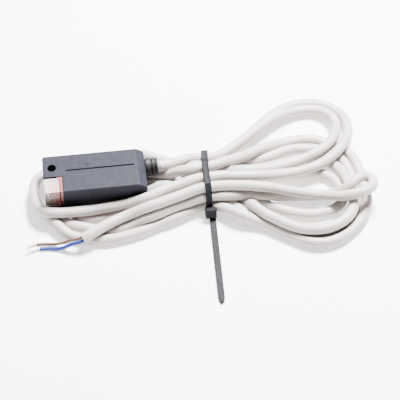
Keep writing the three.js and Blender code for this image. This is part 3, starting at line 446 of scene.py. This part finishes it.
def lathe(name, prof, n, centre):
    prof = np.asarray(prof)
    m = len(prof)
    a = np.arange(n) * 2 * math.pi / n
    V = np.zeros((n, m, 3))
    V[:, :, 0] = prof[None, :, 0]
    V[:, :, 1] = centre[1] + prof[None, :, 1] * np.cos(a)[:, None]
    V[:, :, 2] = centre[2] + prof[None, :, 1] * np.sin(a)[:, None]
    F = []
    for i in range(n):
        for j in range(m):
            F.append((i * m + j, ((i + 1) % n) * m + j, ((i + 1) % n) * m + (j + 1) % m, i * m + (j + 1) % m))
    me = bpy.data.meshes.new(name)
    me.from_pydata(row(V.reshape(-1, 3)).tolist(), [], F)
    me.polygons.foreach_set("use_smooth", np.ones(len(F), bool))
    me.update()
    vol = 0.0
    for p in me.polygons:
        v = [me.vertices[k].co for k in p.vertices]
        vol += v[0].dot(v[1].cross(v[2])) + v[0].dot(v[2].cross(v[3]))
    if vol < 0:
        me.flip_normals()
    o = bpy.data.objects.new(name, me)
    bpy.context.scene.collection.objects.link(o)
    return o


boot_prof = fillet_profile([
    (36.35, 2.1), (36.35, 3.15), (37.25, 3.15), (37.25, 2.9), (39.0, 2.9), (39.0, 3.62), (40.85, 3.6),
    (40.97, 2.95), (41.43, 2.95), (41.55, 3.6), (42.3, 3.58), (42.42, 2.95), (42.83, 2.95), (42.95, 3.52), (43.5, 3.36),
    (43.75, 2.95), (43.85, 2.5), (43.85, 2.1)], 0.16, 3)
boot = lathe("strain_relief_visual", boot_prof, 72, (0, 12.8, 4.6))

# ---- cable tie: strap, head and tail in one moulding ------------------------------------------------
TIE_X = 61.4
HULL = [(-5.3, -1.6), (-4.9, 2.5), (-3.0, 6.5), (-1.0, 7.9), (9.4, 7.9), (11.4, 7.3), (17.8, 4.2), (18.8, 2.2), (18.8, -1.7), (17.4, -3.2), (-4.1, -3.2)]


def f_tie(X, Y, Z):
    p = polygon(Y, Z, HULL)
    X0 = X
    X = X - 0.95 * np.clip((Y - 6.0) / 12.0, 0, 1)      # the strap leans a little along the bundle
    loop = np.abs(p - 0.42) - 0.42
    loop = inter(loop, np.abs(X - TIE_X) - 1.22, 0.16)
    loop = cut(loop, np.maximum(0.74 - p, np.abs(X - TIE_X) - 0.72), 0.07)
    X = X0
    # head, leaning back against the bundle
    c, s = math.cos(-0.35), math.sin(-0.35)
    hy, hz = Y + 7.75, Z + 1.15
    u = hy * c + hz * s
    w = -hy * s + hz * c
    hx = X - TIE_X - 0.3
    head = inter(rect2(hx, w, -2.15, 2.15, -1.9, 1.9, 0.45), np.abs(u) - 1.55, 0.3)
    # raised lip round the strap's exit
    head = union(head, inter(rect2(hx, w, -1.75, 1.75, -1.55, 1.35, 0.3), np.abs(u + 0.2) - 1.55, 0.15), 0.1)
    d = union(loop, head, 0.25)
    # tail, leaving under the head and lying on the surface
    c2, s2 = math.cos(-0.038), math.sin(-0.038)
    tx, ty = X - (TIE_X + 0.95), Y + 8.5
    a = tx * c2 + ty * s2
    b = -tx * s2 + ty * c2
    path = [(2.0, -1.0), (0.9, -2.9), (-0.4, -3.6), (-2.5, -3.72), (-39.0, -3.72)]
    dist = np.full(np.shape(X), 1e9)
    for (y0, z0), (y1, z1) in zip(path[:-1], path[1:]):
        ey, ez = y1 - y0, z1 - z0
        t = np.clip(((b - y0) * ey + (Z - z0) * ez) / (ey * ey + ez * ez), 0, 1)
        dist = np.minimum(dist, np.hypot(b - y0 - ey * t, Z - z0 - ez * t))
    width = 1.24 - 0.85 * np.clip((-36.6 - b) / 2.9, 0, 1) ** 2.2
    tail = inter(dist - 0.46, np.abs(a) - width, 0.15)
    # fine teeth in the underside
    tooth = np.abs(((b / 0.9) % 1.0) - 0.5) * 0.9
    tail = cut(tail, np.maximum(np.maximum(np.maximum(Z + 4.02, np.abs(a) - 0.75), tooth - 0.18), b + 3.0), 0.04)
    d = union(d, tail, 0.15)
    return d


tie = net("cable_tie_visual", f_tie, (58.6, -47.8, -4.3), (64.2, 20.0, 9.0), 0.18)

# ---- materials ---------------------------------------------------------------------------------------


class Mat:
    def __init__(self, name):
        m = bpy.data.materials.new(name)
        m.use_nodes = True
        self.m, self.t = m, m.node_tree
        self.t.nodes.clear()
        self.out = self.n("ShaderNodeOutputMaterial")
        self.b = self.n("ShaderNodeBsdfPrincipled")
        self.t.links.new(self.b.outputs[0], self.out.inputs[0])
        tc = self.n("ShaderNodeTexCoord")
        mp = self.n("ShaderNodeMapping")
        mp.inputs["Scale"].default_value = (1000, 1000, 1000)
        self.t.links.new(tc.outputs["Object"], mp.inputs["Vector"])
        self.co = mp.outputs[0]                       # millimetres in the row frame

    def n(self, kind, **kw):
        node = self.t.nodes.new(kind)
        for k, v in kw.items():
            if hasattr(node, k):
                setattr(node, k, v)
            else:
                node.inputs[k].default_value = v
        return node

    def link(self, a, b):
        self.t.links.new(a, b)

    def noise(self, scale, detail=3.0, rough=0.55, dist=0.0):
        n = self.n("ShaderNodeTexNoise")
        n.inputs["Scale"].default_value = scale
        n.inputs["Detail"].default_value = detail
        n.inputs["Roughness"].default_value = rough
        n.inputs["Distortion"].default_value = dist
        self.link(self.co, n.inputs["Vector"])
        return n.outputs[0]

    def ramp(self, fac, stops):
        r = self.n("ShaderNodeValToRGB")
        e = r.color_ramp.elements
        while len(e) > 1:
            e.remove(e[-1])
        e[0].position = stops[0][0]; e[0].color = (*stops[0][1], 1)
        for p, c in stops[1:]:
            x = e.new(p); x.color = (*c, 1)
        self.link(fac, r.inputs[0])
        return r.outputs[0]

    def maprange(self, v, a, b, c, d):
        r = self.n("ShaderNodeMapRange")
        r.inputs[1].default_value, r.inputs[2].default_value = a, b
        r.inputs[3].default_value, r.inputs[4].default_value = c, d
        self.link(v, r.inputs[0])
        return r.outputs[0]

    def math(self, op, a, b):
        r = self.n("ShaderNodeMath"); r.operation = op
        for i, v in enumerate((a, b)):
            if isinstance(v, (int, float)):
                r.inputs[i].default_value = v
            else:
                self.link(v, r.inputs[i])
        return r.outputs[0]

    def mix(self, fac, a, b, mode="MIX"):
        r = self.n("ShaderNodeMix"); r.data_type = "RGBA"; r.blend_type = mode
        if isinstance(fac, (int, float)):
            r.inputs[0].default_value = fac
        else:
            self.link(fac, r.inputs[0])
        for i, v in ((6, a), (7, b)):
            if isinstance(v, tuple):
                r.inputs[i].default_value = (*v, 1)
            else:
                self.link(v, r.inputs[i])
        return r.outputs[2]

    def xyz(self):
        s = self.n("ShaderNodeSeparateXYZ"); self.link(self.co, s.inputs[0])
        return s.outputs

    def bump(self, h, strength, distance=0.00005):
        b = self.n("ShaderNodeBump")
        b.inputs["Strength"].default_value = strength
        b.inputs["Distance"].default_value = distance
        self.link(h, b.inputs["Height"])
        prev = self.b.inputs["Normal"]
        if prev.is_linked:
            self.link(prev.links[0].from_socket, b.inputs["Normal"])
        self.link(b.outputs[0], prev)

    def set(self, name, v):
        i = self.b.inputs[name]
        if isinstance(v, (int, float)):
            i.default_value = v
        elif isinstance(v, tuple):
            i.default_value = (*v, 1) if i.type == "RGBA" and len(v) == 3 else v
        else:
            self.link(v, i)


def wear(m, base, light, amount=0.5):
    """Slightly lighter rubbed edges."""
    g = m.n("ShaderNodeNewGeometry")
    e = m.maprange(g.outputs["Pointiness"], 0.515, 0.57, 0.0, amount)
    e2 = m.math("MULTIPLY", e, m.maprange(m.noise(1.6, 4), 0.35, 0.7, 0.25, 1.0))
    return m.mix(e2, base, light)


def plastic(name, dark, pale, rough=(0.42, 0.6), grain=9.0, bump=0.35, edge=None, dust=None, spec=0.5):
    m = Mat(name)
    col = m.ramp(m.noise(0.35, 5, 0.6), [(0.3, dark), (0.7, pale)])
    fine = m.noise(grain, 3, 0.6)
    col = m.mix(m.maprange(fine, 0.45, 0.75, 0.0, 0.35), col, tuple(min(1, c * 1.5 + 0.004) for c in pale))
    if dust:
        v = m.n("ShaderNodeTexVoronoi"); v.inputs["Scale"].default_value = 0.9
        m.link(m.co, v.inputs["Vector"])
        spot = m.maprange(v.outputs["Distance"], 0.03, 0.07, 1.0, 0.0)
        spot = m.math("MULTIPLY", spot, m.maprange(m.noise(0.6, 2), 0.55, 0.62, 0.0, dust))
        col = m.mix(spot, col, (0.45, 0.44, 0.43))
    if edge:
        col = wear(m, col, edge)
    m.set("Base Color", col)
    m.set("Roughness", m.maprange(m.noise(0.8, 4), 0.3, 0.7, rough[0], rough[1]))
    m.set("Specular IOR Level", spec)
    m.bump(fine, bump, 0.00003)
    m.bump(m.noise(0.7, 3), 0.15, 0.00004)
    return m.m


def put(o, m):
    o.data.materials.clear()
    o.data.materials.append(m)
    return o


m_case = plastic("case_plastic", (0.013, 0.013, 0.020), (0.020, 0.020, 0.029), (0.46, 0.6), 11.0, 0.5, edge=(0.06, 0.06, 0.075), dust=0.35, spec=0.08)
m_plate = plastic("plate_plastic", (0.03, 0.03, 0.036), (0.045, 0.045, 0.052), (0.5, 0.65), 8.0, 0.4, edge=(0.1, 0.1, 0.11))
m_boot = plastic("boot_rubber", (0.008, 0.008, 0.010), (0.014, 0.014, 0.017), (0.45, 0.6), 7.0, 0.4, edge=(0.03, 0.03, 0.034), spec=0.22)
m_tie = plastic("tie_nylon", (0.005, 0.005, 0.007), (0.010, 0.010, 0.013), (0.5, 0.62), 5.0, 0.3, edge=(0.010, 0.010, 0.012), spec=0.10)
m_chip = plastic("chip_epoxy", (0.016, 0.016, 0.017), (0.028, 0.028, 0.03), (0.45, 0.6), 10.0, 0.5, edge=(0.07, 0.07, 0.07))

# jacket of the lead: pale warm grey PVC
m = Mat("jacket_pvc")
col = m.ramp(m.noise(0.08, 5, 0.6), [(0.25, (0.400, 0.360, 0.343)), (0.75, (0.480, 0.445, 0.428))])
smudge = m.math("MULTIPLY", m.maprange(m.noise(0.35, 6, 0.65, 0.6), 0.56, 0.74, 0.0, 0.45), m.maprange(m.noise(0.05, 2), 0.4, 0.65, 0.2, 1.0))
col = m.mix(smudge, col, (0.38, 0.345, 0.32))
m.set("Base Color", col)
m.set("Roughness", m.maprange(m.noise(0.4, 4), 0.3, 0.7, 0.36, 0.55))
m.set("Subsurface Weight", 0.12)
m.set("Subsurface Radius", (0.0012, 0.0009, 0.0007))
m.set("Specular IOR Level", 0.45)
m.bump(m.noise(2.2, 4, 0.6), 0.25, 0.00005)
m.bump(m.noise(0.25, 2), 0.35, 0.0002)
m_jacket = m.m


def insulation(name, a, b):
    m = Mat(name)
    m.set("Base Color", m.ramp(m.noise(0.5, 4), [(0.3, a), (0.7, b)]))
    m.set("Roughness", m.maprange(m.noise(1.5, 3), 0.3, 0.7, 0.3, 0.48))
    m.set("Subsurface Weight", 0.08)
    m.set("Subsurface Radius", (0.0005, 0.0004, 0.0006))
    m.bump(m.noise(5.0, 3), 0.25, 0.00003)
    return m.m


m_brown = insulation("core_brown_pvc", (0.095, 0.052, 0.032), (0.14, 0.08, 0.052))
m_blue = insulation("core_blue_pvc", (0.004, 0.010, 0.13), (0.008, 0.022, 0.21))


def metal(name, a, b, rough=(0.22, 0.4), grain=6.0, stretch=None):
    m = Mat(name)
    m.set("Base Color", m.ramp(m.noise(1.2, 4), [(0.3, a), (0.7, b)]))
    m.set("Metallic", 1.0)
    m.set("Roughness", m.maprange(m.noise(2.5, 4), 0.3, 0.7, rough[0], rough[1]))
    m.bump(m.noise(grain, 3), 0.25, 0.00003)
    return m.m


m_strand = metal("tinned_strands", (0.55, 0.48, 0.42), (0.85, 0.83, 0.8))
m_solder = metal("solder", (0.55, 0.56, 0.57), (0.78, 0.79, 0.8), (0.25, 0.45), 2.5)
m_leg = metal("tinned_legs", (0.6, 0.6, 0.58), (0.8, 0.8, 0.78))
m_steel = metal("clamp_steel", (0.45, 0.45, 0.46), (0.62, 0.62, 0.63), (0.3, 0.5), 4.0)

# clear lens: a painted reflection of the overhead light on the up-facing top, pale pink-white, clouded, pinker to the
# right and greyer towards the back; clear walls, a red cast towards the light guide
m = Mat("lens_clear")
x, y, z = m.xyz()
geo = m.n("ShaderNodeNewGeometry")
sep = m.n("ShaderNodeSeparateXYZ"); m.link(geo.outputs["Normal"], sep.inputs[0])
# mask of the up-facing top faces, where the pale colour is painted as a reflection of the overhead light
top_reflection_mask = m.math("MULTIPLY", m.maprange(z, 4.2, 4.7, 0.0, 1.0), m.maprange(sep.outputs[2], 0.6, 0.95, 0.0, 1.0))
redness = m.maprange(x, -19.6, -16.8, 0.0, 1.0)
cloud = m.noise(0.7, 4)
# pale pink-white painted on the top as a reflection of the overhead light
white = m.mix(m.maprange(cloud, 0.35, 0.65, 0.0, 1.0), (0.66, 0.57, 0.57), (0.55, 0.42, 0.42))
white = m.mix(m.math("MULTIPLY", m.maprange(x, -20.2, -17.8, 0.0, 0.8), m.maprange(m.noise(0.45, 3), 0.35, 0.6, 0.35, 1.0)), white, (0.58, 0.27, 0.26))
white = m.mix(m.maprange(y, -4.4, -2.6, 0.0, 0.75), white, (0.40, 0.37, 0.37))
clear = m.mix(redness, (0.62, 0.54, 0.51), (0.60, 0.20, 0.20))
m.set("Base Color", m.mix(top_reflection_mask, clear, white))
m.set("Transmission Weight", m.math("SUBTRACT", 0.82, m.math("MULTIPLY", top_reflection_mask, 0.62)))
m.set("IOR", 1.55)
m.set("Roughness", m.maprange(m.noise(1.5, 3), 0.3, 0.7, 0.06, 0.16))
m.bump(m.noise(0.6, 2), 0.1, 0.0001)
m_lens = m.m


def clearish(name, a, b, trans, rough=(0.12, 0.25)):
    m = Mat(name)
    m.set("Base Color", m.ramp(m.noise(0.8, 4), [(0.3, a), (0.7, b)]))
    m.set("Transmission Weight", trans)
    m.set("IOR", 1.5)
    m.set("Roughness", m.maprange(m.noise(2.0, 3), 0.3, 0.7, *rough))
    m.bump(m.noise(1.5, 3), 0.15, 0.00004)
    return m.m


m_guide = clearish("guide_red", (0.30, 0.09, 0.09), (0.42, 0.16, 0.155), 0.35)
m_led = clearish("led_clear", (0.72, 0.66, 0.62), (0.86, 0.82, 0.8), 0.6)
m_ind = clearish("led_red", (0.6, 0.03, 0.03), (0.85, 0.10, 0.08), 0.3)

# board: green mask with faint tracks
m = Mat("board_green")
br = m.n("ShaderNodeTexBrick"); br.inputs["Scale"].default_value = 0.45
br.inputs["Mortar Size"].default_value = 0.035
m.link(m.co, br.inputs["Vector"])
base = m.ramp(m.noise(0.5, 4), [(0.3, (0.012, 0.085, 0.032)), (0.7, (0.02, 0.13, 0.05))])
m.set("Base Color", m.mix(m.math("MULTIPLY", br.outputs["Fac"], 0.8), base, (0.05, 0.22, 0.09)))
m.set("Roughness", m.maprange(m.noise(2.0, 3), 0.3, 0.7, 0.28, 0.42))
m.bump(br.outputs["Fac"], 0.3, 0.00003)
m.bump(m.noise(6.0, 2), 0.15, 0.00002)
m_board = m.m


def ceramic(name, a, b, endc=(0.72, 0.72, 0.7), node=None):
    """Chip part with tinned ends along its longer side."""
    m = Mat(name)
    lo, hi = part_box(node)
    x, y, z = m.xyz()
    cx = (lo.x + hi.x) * 500; hw = (hi.x - lo.x) * 500
    d = m.math("ABSOLUTE", m.math("SUBTRACT", x, cx), 0)
    cap = m.maprange(d, hw * 0.68, hw * 0.72, 0.0, 1.0)
    body = m.ramp(m.noise(2.0, 4), [(0.3, a), (0.7, b)])
    m.set("Base Color", m.mix(cap, body, endc))
    m.set("Metallic", cap)
    m.set("Roughness", m.maprange(m.noise(4.0, 3), 0.3, 0.7, 0.28, 0.45))
    m.bump(m.noise(7.0, 3), 0.3, 0.00002)
    return m.m


def legged(name, node, body_lo, body_hi):
    """Moulded package with tinned legs below the body."""
    m = Mat(name)
    lo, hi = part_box(node)
    x, y, z = m.xyz()
    leg = m.math("MAXIMUM",
                 m.math("MAXIMUM", m.maprange(x, body_lo[0] - 0.02, body_lo[0] + 0.02, 1, 0), m.maprange(x, body_hi[0] - 0.02, body_hi[0] + 0.02, 0, 1)),
                 m.math("MAXIMUM", m.maprange(y, body_lo[1] - 0.02, body_lo[1] + 0.02, 1, 0), m.maprange(y, body_hi[1] - 0.02, body_hi[1] + 0.02, 0, 1)))
    body = m.ramp(m.noise(1.5, 4), [(0.3, (0.016, 0.016, 0.018)), (0.7, (0.03, 0.03, 0.032))])
    m.set("Base Color", m.mix(leg, body, (0.7, 0.7, 0.69)))
    m.set("Metallic", leg)
    m.set("Roughness", m.maprange(m.noise(4.0, 3), 0.3, 0.7, 0.34, 0.52))
    m.bump(m.noise(8.0, 3), 0.4, 0.00002)
    return m.m


def b2(x0, y0, x1, y1):
    return ((x0 - 22.2, y0 - 9.0), (x1 - 22.2, y1 - 9.0))


put(lead, m_jacket); put(inner_lead, m_jacket)
put(brown, m_brown); put(blue, m_blue); put(st_brown, m_strand); put(st_blue, m_strand)
put(case, m_case); put(lens, m_lens); put(boot, m_boot); put(tie, m_tie)

# ---- CAD nodes kept as they are -----------------------------------------------------------------------
keep = {
    "closing_plate": m_plate, "red_light_guide": m_guide, "emitter_led": m_led, "emitter_holder": m_chip,
    "emitter_leg_anode": m_leg, "emitter_leg_cathode": m_leg, "circuit_board": m_board,
    "indicator_led": m_ind, "solder_joint_brown": m_solder, "solder_joint_blue": m_solder,
    "inner_core_brown": m_brown, "inner_core_blue": m_blue, "cable_clamp": m_steel,
    "timing_capacitor": ceramic("ceramic_timing", (0.3, 0.2, 0.11), (0.42, 0.3, 0.18), node="timing_capacitor"),
    "filter_capacitor": ceramic("ceramic_filter", (0.3, 0.2, 0.11), (0.42, 0.3, 0.18), node="filter_capacitor"),
    "resistor_a": ceramic("chip_resistor_a", (0.02, 0.02, 0.024), (0.04, 0.04, 0.045), node="resistor_a"),
    "resistor_b": ceramic("chip_resistor_b", (0.02, 0.02, 0.024), (0.04, 0.04, 0.045), node="resistor_b"),
    "resistor_c": ceramic("chip_resistor_c", (0.02, 0.02, 0.024), (0.04, 0.04, 0.045), node="resistor_c"),
    "driver_chip": legged("driver_package", "driver_chip", *b2(16.15, 5.35, 21.25, 9.25)),
    "voltage_regulator": legged("regulator_package", "voltage_regulator", *b2(23.95, 3.35, 28.55, 5.95)),
    "protection_diode": legged("diode_package", "protection_diode", *b2(24.15, 12.85, 28.45, 15.35)),
    "drive_transistor": legged("transistor_package", "drive_transistor", *b2(12.55, 10.85, 15.45, 12.35)),
    "smoothing_capacitor": ceramic("tantalum_case", (0.42, 0.24, 0.04), (0.55, 0.34, 0.07), node="smoothing_capacitor"),
}
for n, mm in keep.items():
    put(NODES[n], mm)

for o, nodes, s in ((case, ("case_shell",), "case_shell"), (lens, ("corner_lens",), "corner_lens"),
                    (boot, ("strain_relief_boot",), "strain_relief_boot"), (tie, ("cable_tie",), "cable_tie"),
                    (lead, ("cable_hank", "cable_free_end"), "cable_hank"), (inner_lead, ("cable_lead_in",), "cable_lead_in"),
                    (brown, ("core_brown",), "core_brown"), (blue, ("core_blue",), "core_blue"),
                    (st_brown, ("strands_brown",), "strands_brown"), (st_blue, ("strands_blue",), "strands_blue")):
    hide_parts(*nodes)
    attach(o, "root")

# ---- floor and light ---------------------------------------------------------------------------------
zf = row((0, 0, FLOOR_Z))[2]
me = bpy.data.meshes.new("floor")
s = 1.6
me.from_pydata([(-s, -s, zf), (s, -s, zf), (s, s, zf), (-s, s, zf)], [], [(0, 1, 2, 3)])
floor = bpy.data.objects.new("floor", me)
bpy.context.scene.collection.objects.link(floor)
m = Mat("floor_white")
m.set("Base Color", m.ramp(m.noise(0.01, 3), [(0.3, (0.90, 0.89, 0.885)), (0.7, (0.93, 0.925, 0.92))]))
m.set("Roughness", 0.75)
m.set("Emission Color", (1.0, 0.98, 0.97))
m.set("Emission Strength", 1.0)
put(floor, m.m)

world = bpy.data.worlds.new("studio")
bpy.context.scene.world = world
world.use_nodes = True
bg = world.node_tree.nodes.get("Background") or world.node_tree.nodes.new("ShaderNodeBackground")
bg.inputs[0].default_value = (1.0, 0.955, 0.93, 1)
bg.inputs[1].default_value = 0.16


def area(name, loc, target, size, power, color=(1, 1, 1)):
    d = bpy.data.lights.new(name, "AREA")
    d.shape = "RECTANGLE"; d.size, d.size_y = size
    d.energy = power; d.color = color
    o = bpy.data.objects.new(name, d)
    bpy.context.scene.collection.objects.link(o)
    o.location = loc
    o.rotation_euler = (Vector(target) - Vector(loc)).to_track_quat("-Z", "Y").to_euler()
    return o


area("softbox_back", (0.19, 0.24, 0.54), (0.04, 0, 0), (0.22, 0.18), 39.0)
area("softbox_left", (-0.25, 0.20, 0.55), (0.04, 0, 0), (0.26, 0.26), 2.5)
